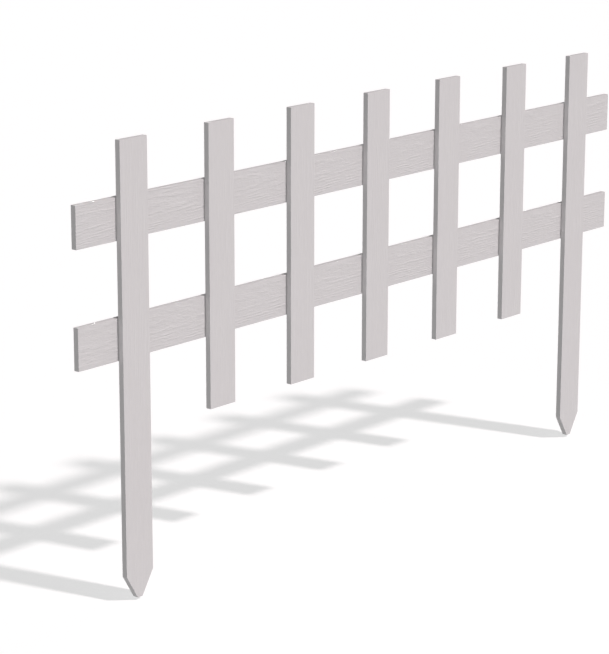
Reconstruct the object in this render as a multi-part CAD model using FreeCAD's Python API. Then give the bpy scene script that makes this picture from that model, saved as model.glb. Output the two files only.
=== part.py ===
import FreeCAD, Part
import os

# Uprights: the stakes at both ends and the short pickets between them
upright_width = 38.3
upright_thickness = 6.35
upright_spacing = 127.5
picket_count = 5
picket_length = 302.0

# Stakes
stake_length = 477.7
stake_top_drop = 0.8
point_height = 26.1
tip_width = 6.4

# Rails
rail_width = 44.2
rail_thickness = 6.35
rail_overhang = 55.55
upper_rail_drop = 58.3
rail_gap = 78.4

# Every edge is eased by this radius
edge_ease = 0.2

# The origin is the middle of the left stake's flat tip, with the rails towards +Y
front_face = -upright_thickness / 2
back_face = upright_thickness / 2
right_stake_x = (picket_count + 1) * upright_spacing
picket_top = stake_length + stake_top_drop
upper_rail_top = picket_top - upper_rail_drop
lower_rail_top = upper_rail_top - rail_width - rail_gap


def point(x, y, z):
    return FreeCAD.Vector(x, y, z)


def cut_board(outline, thickness):
    """Cut a board from an outline that lies across its front face, and ease its edges."""
    corners = outline + outline[:1]
    front = Part.Face(Part.makePolygon(corners))
    board = front.extrude(point(0, thickness, 0))
    return board.makeFillet(edge_ease, board.Edges)


def square_outline(left, right, bottom, top, front):
    """Give the four corners of a board with square ends."""
    return [
        point(left, front, bottom),
        point(right, front, bottom),
        point(right, front, top),
        point(left, front, top),
    ]


def make_stake(centre_x):
    """Make a stake: a long board sawn to a blunt point at its foot."""
    half_width = upright_width / 2
    half_tip = tip_width / 2
    outline = [
        point(centre_x - half_tip, front_face, 0),
        point(centre_x + half_tip, front_face, 0),
        point(centre_x + half_width, front_face, point_height),
        point(centre_x + half_width, front_face, stake_length),
        point(centre_x - half_width, front_face, stake_length),
        point(centre_x - half_width, front_face, point_height),
    ]
    return cut_board(outline, upright_thickness)


def make_picket(centre_x):
    """Make a short picket, square at both ends."""
    left = centre_x - upright_width / 2
    right = centre_x + upright_width / 2
    outline = square_outline(left, right, picket_top - picket_length, picket_top, front_face)
    return cut_board(outline, upright_thickness)


def make_rail(top):
    """Make a rail that lies flat on the uprights' backs and runs on past both stakes."""
    left = -upright_width / 2 - rail_overhang
    right = right_stake_x + upright_width / 2 + rail_overhang
    outline = square_outline(left, right, top - rail_width, top, back_face)
    return cut_board(outline, rail_thickness)


def make_boards():
    """Make every board of the panel, by name."""
    boards = {
        "left_stake_post": make_stake(0),
        "right_stake_post": make_stake(right_stake_x),
        "upper_rail": make_rail(upper_rail_top),
        "lower_rail": make_rail(lower_rail_top),
    }
    for number in range(1, picket_count + 1):
        boards[f"picket_{number}"] = make_picket(number * upright_spacing)
    return boards


os.makedirs("parts", exist_ok=True)
for name, board in make_boards().items():
    board.exportStep(f"parts/{name}.step")
    size = board.BoundBox
    print(name, round(size.XLength, 2), round(size.YLength, 2), round(size.ZLength, 2))
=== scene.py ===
import math
import random
import bmesh
import bpy
from mathutils import Matrix, Vector, noise


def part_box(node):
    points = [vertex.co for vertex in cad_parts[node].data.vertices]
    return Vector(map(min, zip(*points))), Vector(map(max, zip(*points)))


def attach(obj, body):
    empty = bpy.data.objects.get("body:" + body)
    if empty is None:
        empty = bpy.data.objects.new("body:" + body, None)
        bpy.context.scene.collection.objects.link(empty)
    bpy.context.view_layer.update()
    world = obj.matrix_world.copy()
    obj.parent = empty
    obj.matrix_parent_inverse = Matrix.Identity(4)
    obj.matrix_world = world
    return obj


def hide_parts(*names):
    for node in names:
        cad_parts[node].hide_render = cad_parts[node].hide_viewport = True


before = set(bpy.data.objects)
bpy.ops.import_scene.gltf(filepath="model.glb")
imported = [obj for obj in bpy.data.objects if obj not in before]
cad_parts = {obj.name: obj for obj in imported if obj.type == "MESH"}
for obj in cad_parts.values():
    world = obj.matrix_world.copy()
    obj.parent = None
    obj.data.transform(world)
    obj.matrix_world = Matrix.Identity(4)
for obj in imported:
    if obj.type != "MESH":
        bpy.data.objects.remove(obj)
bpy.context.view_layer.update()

# Lengths are in metres and colours in linear light. +X runs along the rails, and +Y goes
# from the uprights to the rails behind them.

camera = {
    "place": (-1.7308, -1.71343, 0.9043),
    "turn": -49.3067,         # degrees about the vertical, 0 looks along +Y
    "tilt": -14.2856,         # degrees above the horizon
    "roll": 0.0725,           # degrees
    "focalPixels": 2505.07,
    "imageHeight": 654,
    "sensor": 36.0,           # millimetres, along the image's longer side
    "seesTo": 200.0,
}


def addCamera():
    data = bpy.data.cameras.new("camera")
    data.sensor_width = camera["sensor"]
    data.lens = camera["focalPixels"] * camera["sensor"] / camera["imageHeight"]
    data.clip_end = camera["seesTo"]
    view = bpy.data.objects.new("camera", data)
    bpy.context.collection.objects.link(view)
    turn = Matrix.Rotation(math.radians(camera["turn"]), 4, "Z")
    tilt = Matrix.Rotation(math.radians(90 + camera["tilt"]), 4, "X")
    roll = Matrix.Rotation(math.radians(camera["roll"]), 4, "Z")
    view.matrix_world = Matrix.Translation(camera["place"]) @ turn @ tilt @ roll
    bpy.context.scene.camera = view


light = {
    "sunPush": (-0.1925, 0.8008, -1.0),   # where a shadow goes as it falls by one metre
    "sunStrength": 2.97,
    "sunColour": (1.0, 0.94, 0.945),
    "fillPush": (-0.62, -0.785, 0.0),     # a level light from behind, which misses the front
    "fillStrength": 2.2,
    "fillColour": (1.0, 1.0, 1.0),
    "width": 3.3,                         # degrees, softens a shadow's far end
    # How bright the room is, each at places from -1 to 1.
    "frontToBack": ((-1.0, 0.22), (-0.5, 0.715), (0.0, 0.640), (0.5, 0.280), (1.0, 0.18)),
    "floorToCeiling": ((-1.0, 0.66), (-0.4, 1.010), (0.0, 1.0), (0.4, 0.710), (1.0, 0.120)),
    "leftToRight": ((-1.0, 1.180), (1.0, 0.780)),
}


def addSun(name):
    data = bpy.data.lights.new(name, "SUN")
    data.energy = light[name + "Strength"]
    data.color = light[name + "Colour"]
    data.angle = math.radians(light["width"])
    sun = bpy.data.objects.new(name, data)
    bpy.context.collection.objects.link(sun)
    sun.rotation_mode = "QUATERNION"
    sun.rotation_quaternion = Vector(light[name + "Push"]).to_track_quat("-Z", "Y")


def lightRoom():
    world = bpy.data.worlds.new("studio")
    world.use_nodes = True
    bpy.context.scene.world = world
    nodes, links = world.node_tree.nodes, world.node_tree.links
    place = nodes.new("ShaderNodeTexCoord")
    split = nodes.new("ShaderNodeSeparateXYZ")
    links.new(place.outputs["Generated"], split.inputs["Vector"])
    total = None
    for axis, stops in (("Y", "frontToBack"), ("Z", "floorToCeiling"), ("X", "leftToRight")):
        tone = curve(nodes, links, split.outputs[axis], light[stops])
        total = tone if total is None else combine(nodes, links, "MULTIPLY", total, tone)
    nodes["Background"].inputs["Color"].default_value = (1, 1, 1, 1)
    links.new(total, nodes["Background"].inputs["Strength"])


def curve(nodes, links, value, stops):
    # A line through the stops, each a place from -1 to 1 and a brightness.
    node = nodes.new("ShaderNodeFloatCurve")
    line = node.mapping.curves[0]
    node.mapping.use_clip = False
    while len(line.points) < len(stops):
        line.points.new(0.5, 0.5)
    for point, (where, tone) in zip(line.points, stops):
        point.location = (where / 2 + 0.5, tone)
        point.handle_type = "VECTOR"
    node.mapping.update()
    links.new(mapRange(nodes, links, value, (-1, 1), (0, 1)), node.inputs["Value"])
    return node.outputs["Value"]


def mapRange(nodes, links, value, fromRange, toRange):
    node = nodes.new("ShaderNodeMapRange")
    node.inputs["From Min"].default_value, node.inputs["From Max"].default_value = fromRange
    node.inputs["To Min"].default_value, node.inputs["To Max"].default_value = toRange
    links.new(value, node.inputs["Value"])
    return node.outputs["Result"]


def combine(nodes, links, operation, first, second):
    node = nodes.new("ShaderNodeMath")
    node.operation = operation
    links.new(first, node.inputs[0])
    links.new(second, node.inputs[1])
    return node.outputs["Value"]


stage = {
    "reach": 12.0,            # half the floor's side, past all that the photograph shows
    "floorLevel": -0.0030,    # the stakes' tips stand just clear of the floor
    "floorTone": 0.434,
    "floorGlow": 0.612,       # lifts the floor to white, and shadows stay pale
    "backdropRadius": 45.0,   # a larger one can pass out of a camera's sight
    "backdropSides": 48,
    "backdropGlow": 1.0,
}


def addFloor():
    bm = bmesh.new()
    bmesh.ops.create_grid(bm, x_segments=1, y_segments=1, size=stage["reach"])
    bmesh.ops.translate(bm, verts=bm.verts, vec=(0, 0, stage["floorLevel"]))
    floor = finishMesh(bm, "floor")
    material = bpy.data.materials.new("floorWhite")
    material.use_nodes = True
    shader = material.node_tree.nodes["Principled BSDF"].inputs
    shader["Base Color"].default_value = (*[stage["floorTone"]] * 3, 1)
    shader["Roughness"].default_value = 1.0
    shader["Specular IOR Level"].default_value = 0.0
    shader["Emission Color"].default_value = (1, 1, 1, 1)
    shader["Emission Strength"].default_value = stage["floorGlow"]
    floor.data.materials.append(material)
    floor.visible_diffuse = False
    floor.visible_shadow = False


def addBackdrop():
    bm = bmesh.new()
    bmesh.ops.create_uvsphere(bm, u_segments=stage["backdropSides"],
                              v_segments=stage["backdropSides"] // 2,
                              radius=stage["backdropRadius"])
    backdrop = finishMesh(bm, "backdrop")
    material = bpy.data.materials.new("backdropWhite")
    material.use_nodes = True
    nodes, links = material.node_tree.nodes, material.node_tree.links
    nodes.remove(nodes["Principled BSDF"])
    glow = nodes.new("ShaderNodeEmission")
    glow.inputs["Strength"].default_value = stage["backdropGlow"]
    links.new(glow.outputs["Emission"], nodes["Material Output"].inputs["Surface"])
    backdrop.data.materials.append(material)
    backdrop.visible_diffuse = False
    backdrop.visible_glossy = False
    backdrop.visible_shadow = False


def finishMesh(bm, name):
    bmesh.ops.recalc_face_normals(bm, faces=bm.faces)
    mesh = bpy.data.meshes.new(name)
    bm.to_mesh(mesh)
    bm.free()
    piece = bpy.data.objects.new(name, mesh)
    bpy.context.collection.objects.link(piece)
    return piece


paint = {
    "greyer": (0.590, 0.576, 0.580),   # in the grain's hollows
    "whiter": (0.680, 0.666, 0.670),   # on its highest places
    "rougher": 0.62,                   # in the hollows
    "smoother": 0.48,                  # on the highest places
    "sheen": 0.35,
}
grain = {
    "stretch": {"Z": 8.0, "X": 4.6},   # how much longer than wide its marks are
    "relief": {"Z": 0.00017, "X": 0.00030},
    "ringGap": 0.0020,                 # between two growth rings
    "ringWander": 3.4,
    "ringDetail": 2.0,
    "ringDetailScale": 2.6,
    "ringDetailRoughness": 0.55,
    "ringShow": (0.0, 0.75),           # rings show less in some patches, more in others
    "fibreWidth": 0.0007,
    "fibreDetail": 3.0,
    "fibreRoughness": 0.6,
    "fibreSpan": (0.3, 0.7),           # the noise's low and high values
    "patchScale": 200.0,
    "patchDetail": 2.0,
    "patchSpan": (0.40, 0.65),
    "patchShare": 0.4,                 # of the tone that comes from patches, fibres give the rest
    "pith": (0.030, 0.075),            # nearest and furthest the tree's centre lies from the board
    "pithTurn": (0.35, 1.0),           # how far round from straight behind it lies, in radians
    "lean": 0.022,                     # how far the grain runs out of the board, in radians
    "leanShare": (0.5, 1.0),
}


def paintedWood(name, centre, lengthwise, seed):
    # White paint over wood whose grain runs the board's length.
    material = bpy.data.materials.new(name)
    material.use_nodes = True
    nodes, links = material.node_tree.nodes, material.node_tree.links
    shader = nodes["Principled BSDF"].inputs
    shader["Specular IOR Level"].default_value = paint["sheen"]
    vector = grainSpace(nodes, links, centre, lengthwise, random.Random(seed))

    rings = addTexture(nodes, links, "ShaderNodeTexWave", vector, {
        "Scale": math.tau / 20 / grain["ringGap"], "Distortion": grain["ringWander"],
        "Detail": grain["ringDetail"], "Detail Scale": grain["ringDetailScale"],
        "Detail Roughness": grain["ringDetailRoughness"]})
    rings.wave_type, rings.rings_direction, rings.wave_profile = "RINGS", "Z", "SIN"
    fibres = addTexture(nodes, links, "ShaderNodeTexNoise", vector, {
        "Scale": 0.5 / grain["fibreWidth"], "Detail": grain["fibreDetail"],
        "Roughness": grain["fibreRoughness"]})
    patches = addTexture(nodes, links, "ShaderNodeTexNoise", vector, {
        "Scale": grain["patchScale"], "Detail": grain["patchDetail"]})
    rings, fibres, patches = (node.outputs["Fac"] for node in (rings, fibres, patches))

    show = mapRange(nodes, links, patches, grain["patchSpan"], grain["ringShow"])
    height = combine(nodes, links, "MULTIPLY", rings, show)
    height = combine(nodes, links, "ADD", height, fibres)
    relief = nodes.new("ShaderNodeBump")
    relief.inputs["Strength"].default_value = 1.0
    relief.inputs["Distance"].default_value = grain["relief"][lengthwise]
    links.new(height, relief.inputs["Height"])
    links.new(relief.outputs["Normal"], shader["Normal"])

    shade = nodes.new("ShaderNodeMix")
    shade.inputs["Factor"].default_value = grain["patchShare"]
    links.new(fibres, shade.inputs["A"])
    links.new(patches, shade.inputs["B"])
    tone = nodes.new("ShaderNodeValToRGB")
    for stop, colour in zip(tone.color_ramp.elements, ("greyer", "whiter")):
        stop.color = (*paint[colour], 1)
    links.new(shade.outputs["Result"], tone.inputs["Fac"])
    links.new(tone.outputs["Color"], shader["Base Color"])
    roughness = (paint["rougher"], paint["smoother"])
    links.new(mapRange(nodes, links, fibres, grain["fibreSpan"], roughness), shader["Roughness"])
    return material


def grainSpace(nodes, links, centre, lengthwise, draw):
    # Coordinates whose Z runs along the grain, around the tree's centre.
    away = draw.uniform(*grain["pith"])
    turned = draw.uniform(*grain["pithTurn"]) * draw.choice((-1, 1))
    across = away * math.sin(turned)
    behind = away * math.cos(turned) * draw.choice((-1, 1))
    lean = [draw.uniform(*grain["leanShare"]) * draw.choice((-1, 1)) * grain["lean"]
            for _ in range(2)]
    if lengthwise == "X":
        middle = (centre[0], centre[1] + behind, centre[2] + across)
        turn = (0, math.radians(90) + lean[0], lean[1])
    else:
        middle = (centre[0] + across, centre[1] + behind, centre[2])
        turn = (lean[0], lean[1], 0)
    place = nodes.new("ShaderNodeTexCoord")
    along = nodes.new("ShaderNodeMapping")
    along.vector_type = "TEXTURE"
    along.inputs["Location"].default_value = middle
    along.inputs["Rotation"].default_value = turn
    along.inputs["Scale"].default_value = (1, 1, grain["stretch"][lengthwise])
    links.new(place.outputs["Object"], along.inputs["Vector"])
    return along.outputs["Vector"]


def addTexture(nodes, links, kind, vector, values):
    node = nodes.new(kind)
    for name, value in values.items():
        node.inputs[name].default_value = value
    links.new(vector, node.inputs["Vector"])
    return node


uprights = ["left_stake_post", "picket_1", "picket_2", "picket_3", "picket_4", "picket_5",
            "right_stake_post"]
rails = ["upper_rail", "lower_rail"]
board = {
    "edgeRound": 0.00022,
    "edgeSteps": 3,
    "edgeAngle": 0.3,                     # radians, only sharper edges are rounded
    "slice": 0.012,                       # a board is divided this often along its length
    "sliceFrom": {"Z": 0.03, "X": 0.012}, # the first cut, clear of a stake's point
    "wander": 0.00010,                    # how far its faces stray from true
    "wanderLength": 0.11,
    "wanderStep": (3.7, 1.9, 5.3),        # moves the pattern from board to board
    "snap": 1e-7,                         # a cut uses corners that lie this near
}
stake = {
    # Each saw cut: how far from the middle it meets the tip, how high on the side it starts.
    "leftCut": {"left_stake_post": (0.0038, 0.0254), "right_stake_post": (0.0032, 0.0261)},
    "rightCut": {"left_stake_post": (0.0032, 0.0261), "right_stake_post": (0.0032, 0.0261)},
}
seeds = {"uprights": 11, "rails": 31, "brads": 51}   # the first one's, the next has one more


def makeBoard(node, name, lengthwise, seed):
    low, high = (Vector(corner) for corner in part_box(node))
    centre, size = (low + high) / 2, high - low
    bm = bmesh.new()
    bmesh.ops.create_cube(bm, size=1.0)
    bmesh.ops.scale(bm, verts=bm.verts, vec=size)
    bmesh.ops.translate(bm, verts=bm.verts, vec=centre)
    if node in stake["leftCut"]:
        sawPoint(bm, node, low, centre, size)
    sliceAlong(bm, lengthwise, low, high)
    sharp = [edge for edge in bm.edges if edge.calc_face_angle(0) > board["edgeAngle"]]
    bmesh.ops.bevel(bm, geom=sharp, offset=board["edgeRound"], segments=board["edgeSteps"],
                    profile=0.5, affect="EDGES", material=-1)
    noise.seed_set(seed)     # without it the noise differs from run to run
    drift = Vector([seed * step for step in board["wanderStep"]])
    for vert in bm.verts:
        push = noise.noise_vector(vert.co / board["wanderLength"] + drift) * board["wander"]
        vert.co.y += push.y
        if lengthwise == "Z":
            vert.co.x += push.x
        else:
            vert.co.z += push.z
    piece = finishMesh(bm, name)
    piece.data.materials.append(paintedWood(name + "Paint", centre, lengthwise, seed))
    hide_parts(node)
    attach(piece, "root")


def sawPoint(bm, node, low, centre, size):
    # Two saw cuts take the corners off the foot of a stake.
    for way, side in ((-1, "leftCut"), (1, "rightCut")):
        halfTip, height = stake[side][node]
        foot = Vector((centre.x + way * halfTip, centre.y, low.z))
        shoulder = Vector((centre.x + way * size.x / 2, centre.y, low.z + height))
        along = shoulder - foot
        cut(bm, foot, Vector((along.z, 0, -along.x)) * way, takeOff=True)
        bmesh.ops.holes_fill(bm, edges=[edge for edge in bm.edges if edge.is_boundary])


def sliceAlong(bm, lengthwise, low, high):
    axis = "XYZ".index(lengthwise)
    normal = Vector((0, 0, 0))
    normal[axis] = 1
    start = low[axis] + board["sliceFrom"][lengthwise]
    for number in range(int((high[axis] - start) / board["slice"])):
        point = low.copy()
        point[axis] = start + number * board["slice"]
        cut(bm, point, normal)


def cut(bm, point, normal, takeOff=False):
    parts = bm.verts[:] + bm.edges[:] + bm.faces[:]
    bmesh.ops.bisect_plane(bm, geom=parts, dist=board["snap"], plane_co=point,
                           plane_no=normal, clear_outer=takeOff)


brad = {
    "headRadius": 0.0016,
    "headTop": 0.0013,
    "rimRound": 0.00007,
    "rimSteps": 2,
    "proud": 0.00026,
    "sunk": 0.00012,
    "across": 0.0088,         # from the middle of an upright
    "up": 0.0112,             # from the middle of a rail
    "scatter": 0.0012,        # how far a head may lie from its place
    "sides": 20,
}


def addBrads(rail, name, seed):
    # Two small heads behind each upright, painted over with the rest.
    draw = random.Random(seed)
    low, high = (Vector(corner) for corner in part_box(rail))
    facing = Matrix.Rotation(math.radians(-90), 4, "X")
    bm = bmesh.new()
    for node in uprights:
        start, end = (Vector(corner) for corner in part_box(node))
        for way in (-1, 1):
            x = (start.x + end.x) / 2 + way * brad["across"]
            x += draw.uniform(-brad["scatter"], brad["scatter"])
            z = (low.z + high.z) / 2 - way * brad["up"]
            z += draw.uniform(-brad["scatter"], brad["scatter"])
            y = high.y + (brad["proud"] - brad["sunk"]) / 2
            bmesh.ops.create_cone(bm, cap_ends=True, segments=brad["sides"],
                                  radius1=brad["headRadius"], radius2=brad["headTop"],
                                  depth=brad["proud"] + brad["sunk"],
                                  matrix=Matrix.Translation((x, y, z)) @ facing)
    rim = [edge for edge in bm.edges if all(vert.co.y > high.y for vert in edge.verts)]
    bmesh.ops.bevel(bm, geom=rim, offset=brad["rimRound"], segments=brad["rimSteps"],
                    profile=0.5, affect="EDGES", material=-1)
    piece = finishMesh(bm, name)
    piece.data.materials.append(paintedWood(name + "Paint", (low + high) / 2, "X", seed))
    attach(piece, "root")


bpy.context.scene.view_settings.view_transform = "Standard"
addCamera()
print("camera placed")
addSun("sun")
addSun("fill")
lightRoom()
addFloor()
addBackdrop()
print("studio lit")
for number, node in enumerate(uprights):
    makeBoard(node, f"board_{node}", "Z", seeds["uprights"] + number)
print("uprights made")
for number, node in enumerate(rails):
    makeBoard(node, f"board_{node}", "X", seeds["rails"] + number)
    addBrads(node, f"brads_{node}", seeds["brads"] + number)
print("rails made")
